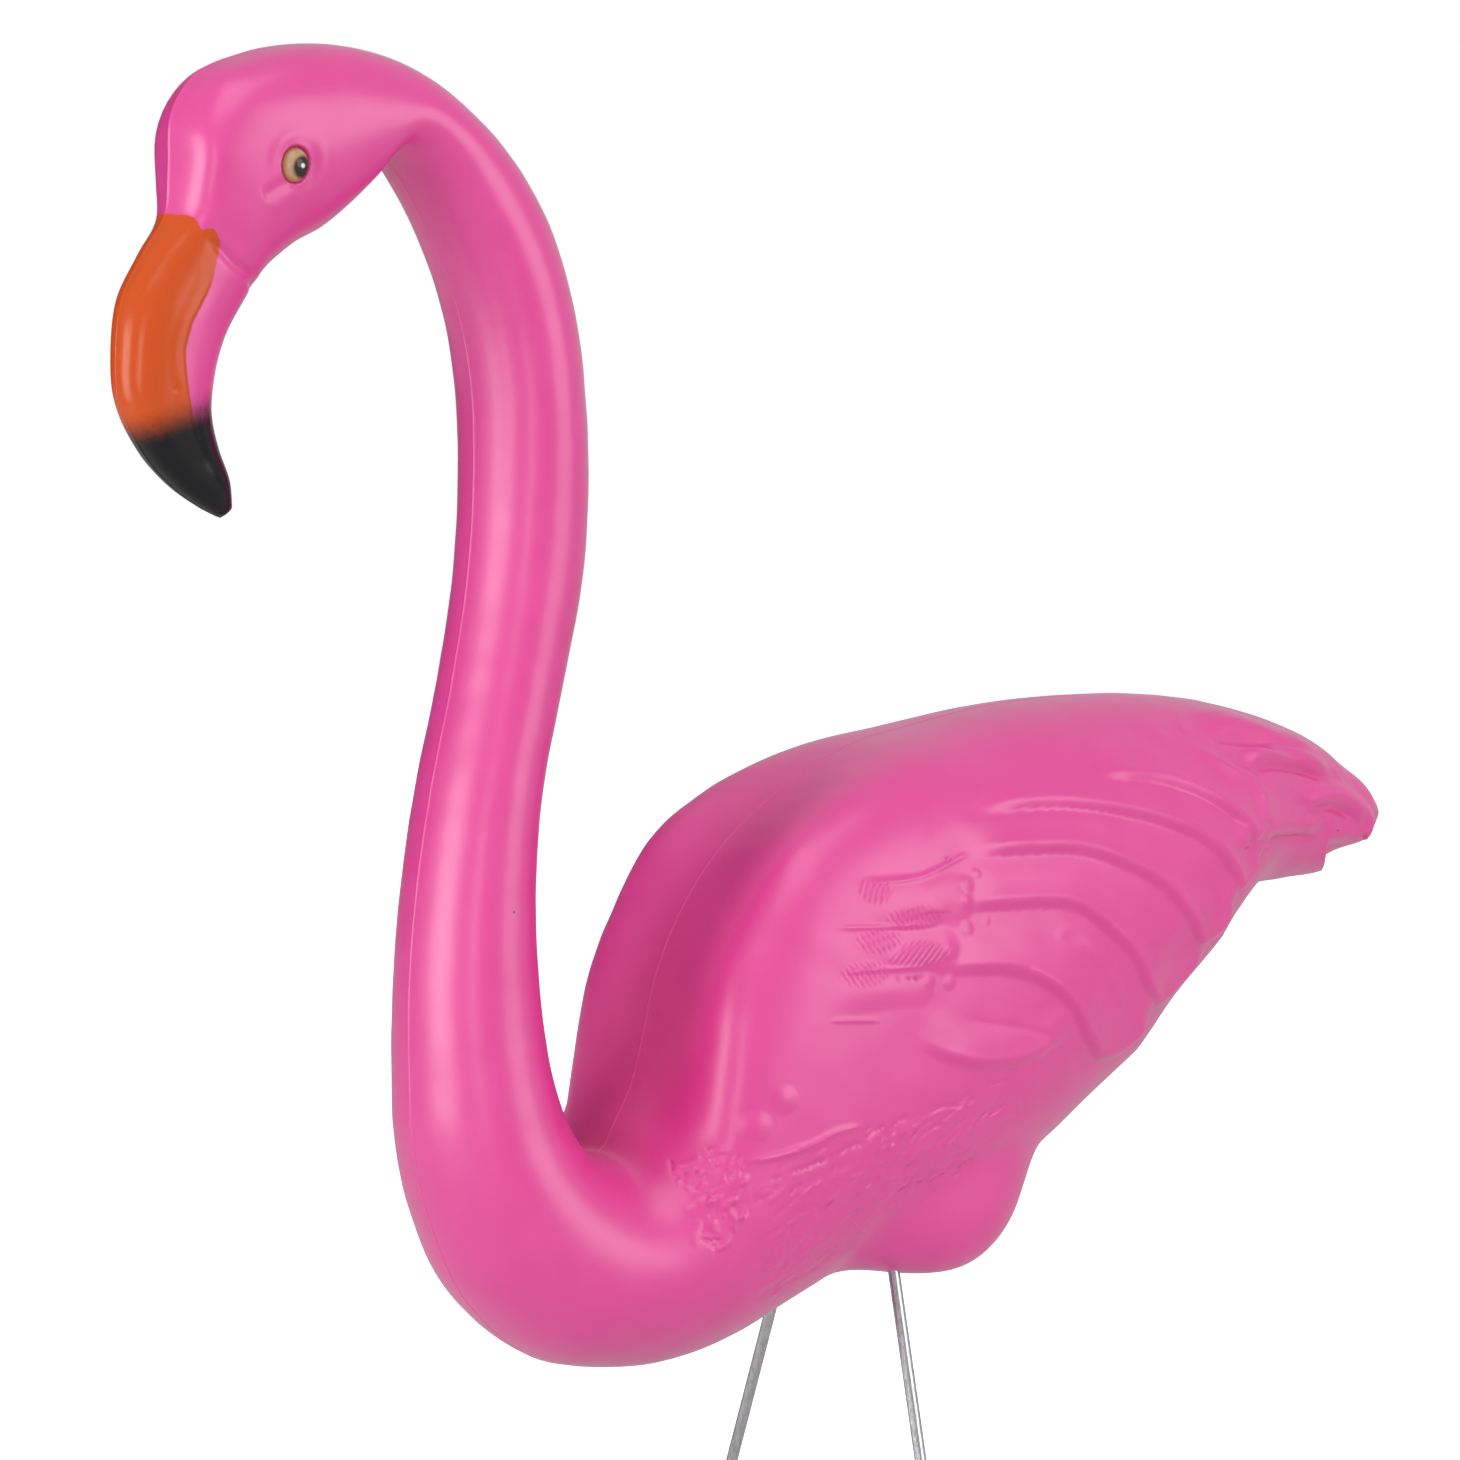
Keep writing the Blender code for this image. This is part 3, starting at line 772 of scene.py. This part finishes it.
def divideSkin():
    # Divides the mesh where its edges are longer than the relief there allows.
    rows, arounds, sides, faces = firstMesh()
    points, _ = plainSkin(rows, arounds, sides)
    mesh = bpy.data.meshes.new("skin")
    mesh.from_pydata([tuple(point) for point in points], [], faces)
    net = bmesh.new()
    net.from_mesh(mesh)
    rowLayer = net.verts.layers.float.new("row")
    aroundLayer = net.verts.layers.float.new("around")
    for vert, row, around in zip(net.verts, rows, arounds):
        vert[rowLayer], vert[aroundLayer] = row, around
    for _ in range(bird["rounds"]):
        net.verts.index_update()
        points = np.array([vert.co for vert in net.verts])
        longest = finenessAt(points)
        ends = np.array([(edge.verts[0].index, edge.verts[1].index) for edge in net.edges])
        length = np.linalg.norm(points[ends[:, 0]] - points[ends[:, 1]], axis=1)
        long = length > fineness["slack"] * np.minimum(longest[ends[:, 0]], longest[ends[:, 1]])
        chosen = [edge for edge, split in zip(net.edges, long) if split]
        if not chosen:
            break
        bmesh.ops.subdivide_edges(net, edges=chosen, cuts=1, use_grid_fill=True)
    bmesh.ops.triangulate(net, faces=[face for face in net.faces if len(face.verts) > 4])
    rows = np.array([vert[rowLayer] for vert in net.verts])
    arounds = np.array([vert[aroundLayer] for vert in net.verts])
    sides = np.where(np.array([vert.co.y for vert in net.verts]) > 1e-6, 1.0, -1.0)
    net.to_mesh(mesh)
    net.free()
    return mesh, rows, arounds, sides


def setAttribute(mesh, name, values):
    attribute = mesh.attributes.new(name, "FLOAT", "POINT")
    attribute.data.foreach_set("value", np.asarray(values, dtype=np.float32))


# The bill's paint lies in front of this x, between these heights at the mouth and below this one at the tip.
# A point anywhere else counts as far outside it.
paint = {"front": -480, "mouth": (640, 890), "tip": 800, "outside": 50.0, "curvePoints": 120}


def mouthAt(points):
    # How far each point is inside the orange paint.
    away = np.full(len(points), -paint["outside"])
    low, high = paint["mouth"]
    near = np.flatnonzero((points[:, 0] < paint["front"]) & (points[:, 2] < high) & (points[:, 2] > low))
    inside, _ = fromEdge(points[near, 0], points[near, 2], smoothCurve(paintEdge, paint["curvePoints"]))
    away[near] = np.clip(-inside, -paint["outside"], paint["outside"])
    return away


def tipAt(points):
    # How far each point is below the middle of the fade to black.
    line = bill["fadeLevel"] - bill["fadeSlope"] * np.clip(bill["fadeFront"] - points[:, 0], 0, None)
    onBill = (points[:, 0] < paint["front"]) & (points[:, 2] < paint["tip"])
    return np.where(onBill, line - points[:, 2], -paint["outside"])


shading = {
    "step": 0.7,           # thousandths to the places that a normal is worked out from
    "halfRound": 250,      # about how long the way is from T round to B
    "leastSize": 0.02,     # at the poles, and where those places nearly coincide or a normal turns away
    "leastTurn": 0.2,      # from the plain skin's, the plain one is kept
    "poleRows": 3,
}


def shadingNormals(rows, arounds, sides, points, normals):
    # The exact normals of the skin with its relief, so that its shine doesn't show how the mesh is divided.
    rowStep = np.where(rows < lastRow / 2, 1, -1) * shading["step"] / bird["tableStep"]
    aroundStep = np.where(arounds < 0.5, 1, -1) * shading["step"] / shading["halfRound"]
    ways = []
    for rowMove, aroundMove in ((rowStep, 0), (0, aroundStep)):
        moved, movedNormals = plainSkin(rows + rowMove, arounds + aroundMove, sides)
        ways.append(moved + movedNormals * reliefOf(moved, movedNormals)[:, None] - points)
    exact = np.cross(ways[1], ways[0])
    size = np.linalg.norm(exact, axis=1)
    exact = exact / np.maximum(size, 1e-9)[:, None]
    exact *= np.sign((exact * normals).sum(axis=1))[:, None]
    unsure = (size < shading["leastSize"]) | ((exact * normals).sum(axis=1) < shading["leastTurn"])
    unsure |= (rows < shading["poleRows"]) | (rows > lastRow - shading["poleRows"])
    exact[unsure] = normals[unsure]
    return exact


def makeBird():
    mesh, rows, arounds, sides = divideSkin()
    points, normals = plainSkin(rows, arounds, sides)
    setAttribute(mesh, "mouth", mouthAt(points))
    setAttribute(mesh, "tip", tipAt(points))
    points = points + normals * reliefOf(points, normals)[:, None]
    mesh.vertices.foreach_set("co", place(points).ravel())
    exact = shadingNormals(rows, arounds, sides, points, normals)
    for leftover in ("row", "around"):
        mesh.attributes.remove(mesh.attributes[leftover])
    mesh.shade_smooth()
    mesh.update()
    mesh.normals_split_custom_set_from_vertices([tuple(normal) for normal in exact])
    mesh.name = "birdSkin"
    skin = addObject("bird_skin", mesh)
    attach(skin, "root")
    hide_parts("bird")
    triangles = sum(len(face.vertices) - 2 for face in mesh.polygons)
    print("bird:", len(mesh.vertices), "points,", triangles, "triangles")
    return skin


skin = makeBird()


def sums(tree, operation, *values):
    numbered = dict(enumerate(values))
    return addNode(tree, "Math", {"operation": operation}, numbered).outputs[0]


def eased(tree, value, low, high, first=0.0, last=1.0):
    ends = {"Value": value, "From Min": low, "From Max": high, "To Min": first, "To Max": last}
    return addNode(tree, "MapRange", {"interpolation_type": "SMOOTHSTEP"}, ends).outputs["Result"]


def mixed(tree, factor, first, second):
    # Inputs 6 and 7 of a colour mix are its two colours, and output 2 is its result.
    colours = [c if isinstance(c, bpy.types.NodeSocket) else (*c, 1.0) for c in (first, second)]
    return addNode(tree, "Mix", {"data_type": "RGBA"}, {0: factor, 6: colours[0], 7: colours[1]}).outputs[2]


def kept(tree, name):
    return addNode(tree, "Attribute", {"attribute_name": name}).outputs["Fac"]


def noise(tree, where, scale, detail=2.0):
    return addNode(tree, "TexNoise", {}, {"Vector": where, "Scale": scale, "Detail": detail}).outputs["Fac"]


def bumped(tree, height, strength, distance):
    given = {"Height": height, "Strength": strength, "Distance": distance}
    return addNode(tree, "Bump", {}, given).outputs["Normal"]


def newGroup(name, inputs, outputs):
    group = bpy.data.node_groups.new(name, "ShaderNodeTree")
    for label, value in inputs.items():
        socket = group.interface.new_socket(label, in_out="INPUT", socket_type="NodeSocketFloat")
        socket.default_value = value
    for label in outputs:
        group.interface.new_socket(label, in_out="OUTPUT", socket_type="NodeSocketFloat")
    return group, group.nodes.new("NodeGroupInput").outputs, group.nodes.new("NodeGroupOutput").inputs


def makeGrainGroup():
    # The faint orange-peel and ripples that a surface keeps from its mould or its drawing.
    inputs = {"Grain": 900.0, "Ripple": 60.0, "Mix": 0.5}
    group, given, made = newGroup("surfaceGrain", inputs, ["Height", "Mask"])
    where = addNode(group, "TexCoord").outputs["Object"]
    fine = noise(group, where, given["Grain"], 3.0)
    broad = noise(group, where, given["Ripple"], 1.0)
    height = addNode(group, "Mix", {}, {0: given["Mix"], 2: fine, 3: broad}).outputs[0]
    group.links.new(height, made["Height"])
    group.links.new(eased(group, broad, 0.35, 0.65), made["Mask"])
    return group


def makeHandlingGroup():
    # Thin rubs and specks of dust from handling.
    group, given, made = newGroup("handling", {"Rubs": 40.0, "Dust": 700.0}, ["Rubbed", "Dusty"])
    where = addNode(group, "TexCoord").outputs["Object"]
    slanted = {"Vector": where, "Scale": (1.0, 1.0, 5.0), "Rotation": (0.4, 0.9, 0.0)}
    stretched = addNode(group, "Mapping", {}, slanted).outputs["Vector"]
    rubs = noise(group, stretched, given["Rubs"], 6.0)
    patches = noise(group, where, 14.0, 2.0)
    rubbed = sums(group, "MULTIPLY", eased(group, rubs, 0.60, 0.72), eased(group, patches, 0.5, 0.7))
    group.links.new(rubbed, made["Rubbed"])
    group.links.new(eased(group, noise(group, where, given["Dust"], 1.0), 0.74, 0.80), made["Dusty"])
    return group


grainGroup = makeGrainGroup()
handlingGroup = makeHandlingGroup()


def useGroup(tree, group, values):
    return addNode(tree, "Group", {"node_tree": group}, values).outputs


pinkPlastic = {
    "colour": (0.80, 0.042, 0.310),
    "paler": (0.815, 0.047, 0.322),
    "dust": (0.9, 0.45, 0.65),
    "dustShare": 0.06,
    "orange": (0.65, 0.082, 0.009),
    "black": (0.002, 0.0015, 0.003),
    "edge": 0.5,               # thousandths over which the orange starts
    "fade": (-17.0, 12.0),     # where the black starts and is full, in thousandths below the fade's middle
    "raggedScale": 420.0,
    "raggedEdge": 1.6,         # how far the orange and the black wander, in thousandths
    "raggedFade": 5.0,
    "speck": (-333, -60, 363),         # a dark speck in the plastic of the neck
    "speckRadius": (0.0008, 0.00048),  # metres to its edge and to where it is full
    "speckColour": (0.10, 0.015, 0.03),
    "roughness": 0.42,
    "paintRoughness": 0.21,
    "coatRoughness": 0.33,
    "rubbed": 0.03,            # what rubbing adds to the roughness
    "index": 1.48,
    "coatIndex": 1.6,
    "specular": 0.38,
    "bump": (0.12, 0.0006),    # strength and depth in metres
    "grain": {"Grain": 1500.0, "Ripple": 45.0, "Mix": 0.4},
    "handling": {"Rubs": 60.0, "Dust": 800.0},
}


def makePinkPlastic(facts):
    # Pink plastic right through, with the bill's colours sprayed over it. Bare plastic has a softer shine.
    material, tree, shader = makeMaterial("pinkPlastic")
    where = addNode(tree, "TexCoord").outputs["Object"]
    grain = useGroup(tree, grainGroup, facts["grain"])
    handling = useGroup(tree, handlingGroup, facts["handling"])
    ragged = sums(tree, "SUBTRACT", noise(tree, where, facts["raggedScale"]), 0.5)
    mouth = sums(tree, "MULTIPLY_ADD", ragged, facts["raggedEdge"], kept(tree, "mouth"))
    tip = sums(tree, "MULTIPLY_ADD", ragged, facts["raggedFade"], kept(tree, "tip"))
    orange = eased(tree, mouth, -facts["edge"], facts["edge"])
    black = eased(tree, tip, *facts["fade"])
    ends = {0: where, 1: tuple(place(facts["speck"]))}
    speckAway = addNode(tree, "VectorMath", {"operation": "DISTANCE"}, ends).outputs["Value"]
    speck = eased(tree, speckAway, *facts["speckRadius"])
    pink = mixed(tree, grain["Mask"], facts["colour"], facts["paler"])
    pink = mixed(tree, sums(tree, "MULTIPLY", handling["Dusty"], facts["dustShare"]), pink, facts["dust"])
    pink = mixed(tree, speck, pink, facts["speckColour"])
    colour = mixed(tree, orange, pink, facts["orange"])
    colour = mixed(tree, black, colour, facts["black"])
    painted = sums(tree, "MAXIMUM", orange, black)
    roughness = eased(tree, painted, 0.0, 1.0, facts["roughness"], facts["paintRoughness"])
    feed(tree, shader, {
        "Base Color": colour,
        "Roughness": sums(tree, "MULTIPLY_ADD", handling["Rubbed"], facts["rubbed"], roughness),
        "Normal": bumped(tree, grain["Height"], *facts["bump"]),
        "IOR": facts["index"],
        "Specular IOR Level": facts["specular"],
        "Coat Weight": sums(tree, "SUBTRACT", 1.0, painted),
        "Coat Roughness": facts["coatRoughness"],
        "Coat IOR": facts["coatIndex"],
    })
    return material


eyeEnamel = {
    "iris": (0.56, 0.33, 0.19),
    "irisDark": (0.36, 0.18, 0.08),
    "irisDarkShare": 0.3,
    "rim": (0.55, 0.27, 0.07),
    "rimEdge": (0.80, 1.0),        # where the rim's colour starts and is full, 1 being the rim
    "pupil": (0.030, 0.012, 0.009),
    "pupilEdge": (1.0, -2.2),      # thousandths from its edge where it starts and is full
    # Colour of the painted highlight on the pupil, and thousandths from its edge where it starts and is full.
    "paintedHighlight": (0.85, 0.85, 0.85),
    "paintedHighlightEdge": (0.7, -0.7),
    "roughness": 0.10,
    "rubbed": 0.15,
    "bump": (0.08, 0.0003),
    "grain": {"Grain": 1400.0, "Ripple": 300.0, "Mix": 0.7},
    "handling": {"Rubs": 200.0, "Dust": 900.0},
}


def makeEyeEnamel(facts):
    material, tree, shader = makeMaterial("eyeEnamel")
    handling = useGroup(tree, handlingGroup, facts["handling"])
    grain = useGroup(tree, grainGroup, facts["grain"])
    iris = mixed(tree, eased(tree, kept(tree, "rim"), *facts["rimEdge"]), facts["iris"], facts["rim"])
    iris = mixed(tree, sums(tree, "MULTIPLY", grain["Mask"], facts["irisDarkShare"]), iris, facts["irisDark"])
    colour = mixed(tree, eased(tree, kept(tree, "pupil"), *facts["pupilEdge"]), iris, facts["pupil"])
    # Painted highlight: a white dot on the pupil in place of a light's reflection.
    colour = mixed(tree, eased(tree, kept(tree, "paintedHighlight"), *facts["paintedHighlightEdge"]), colour, facts["paintedHighlight"])
    feed(tree, shader, {
        "Base Color": colour,
        "Roughness": sums(tree, "MULTIPLY_ADD", handling["Rubbed"], facts["rubbed"], facts["roughness"]),
        "Normal": bumped(tree, grain["Height"], *facts["bump"]),
    })
    return material


steelWire = {
    "colour": (0.60, 0.60, 0.61),
    "streak": (0.42, 0.42, 0.43),
    "streakScale": 1400.0,
    "streakWidth": 0.012,      # as a share of a streak's length
    "roughness": 0.27,
    "rubbed": 0.2,
    "mottled": 0.06,
    "bump": (0.25, 0.0002),
    "grain": {"Grain": 2500.0, "Ripple": 220.0, "Mix": 0.5},
    "handling": {"Rubs": 120.0, "Dust": 600.0},
}


def makeSteelWire(facts):
    # Drawn wire: fine streaks run along it, crossed by faint handling marks.
    material, tree, shader = makeMaterial("steelWire")
    where = addNode(tree, "TexCoord").outputs["Object"]
    drawnOut = {"Vector": where, "Scale": (1.0, 1.0, facts["streakWidth"])}
    long = addNode(tree, "Mapping", {}, drawnOut).outputs["Vector"]
    streaks = noise(tree, long, facts["streakScale"], 4.0)
    handling = useGroup(tree, handlingGroup, facts["handling"])
    grain = useGroup(tree, grainGroup, facts["grain"])
    dull = sums(tree, "MULTIPLY_ADD", handling["Rubbed"], facts["rubbed"], facts["roughness"])
    feed(tree, shader, {
        "Base Color": mixed(tree, eased(tree, streaks, 0.3, 0.7), facts["streak"], facts["colour"]),
        "Roughness": sums(tree, "MULTIPLY_ADD", grain["Mask"], facts["mottled"], dull),
        "Metallic": 1.0,
        "Normal": bumped(tree, streaks, *facts["bump"]),
    })
    return material


enamel = makeEyeEnamel(eyeEnamel)
skin.data.materials.append(makePinkPlastic(pinkPlastic))
steel = makeSteelWire(steelWire)
print("finishes ready")


def makeEye(name, side):
    # A painted eyeball: an egg-shaped dome that stands out of its socket, with a painted highlight on its
    # pupil.
    rings, sides = eye["rings"], eye["sides"]
    turn = np.arange(sides) * 2 * math.pi / sides
    rows = []
    for i in range(1, rings):
        out, wide = math.cos(math.pi * i / rings), math.sin(math.pi * i / rings)
        rows.append(np.stack([np.cos(turn) * wide, np.full(sides, out), np.sin(turn) * wide], axis=1))
    points = np.vstack([[(0, 1, 0)], *rows, [(0, -1, 0)]])
    rim = np.hypot(points[:, 0], points[:, 2])
    wide, tall = eye["reach"][0] + eye["overlap"], eye["reach"][1] + eye["overlap"]
    points = points * np.array([wide, eye["depth"], tall]) * (1, side, 1)
    points += (eye["centre"][0], side * (eye["out"] - eye["depth"]), eye["centre"][1])
    faces = []
    for j in range(sides):
        after = (j + 1) % sides
        faces.append((0, 1 + j, 1 + after))
        for i in range(rings - 2):
            a, b = 1 + i * sides + j, 1 + i * sides + after
            faces.append((a, a + sides, b + sides, b))
        last = 1 + (rings - 2) * sides
        faces.append((last + j, len(points) - 1, last + after))
    if side < 0:
        faces = [face[::-1] for face in faces]
    mesh = bpy.data.meshes.new(name)
    mesh.from_pydata([tuple(point) for point in place(points)], [], faces)
    # How far each point is from the pupil and from the painted highlight on it.
    for spot in ("pupil", "paintedHighlight"):
        away = np.hypot(points[:, 0] - eye[spot][0], points[:, 2] - eye[spot][1])
        setAttribute(mesh, spot, away - eye[spot + "Radius"])
    setAttribute(mesh, "rim", rim)
    mesh.shade_smooth()
    mesh.materials.append(enamel)
    ball = addObject(name, mesh)
    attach(ball, "root")
    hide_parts("bird")


makeEye("eye_left", -1)
makeEye("eye_right", 1)
for name in ("leg_left", "leg_right"):
    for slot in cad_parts[name].material_slots:
        slot.material = steel
print("eyes and legs ready")
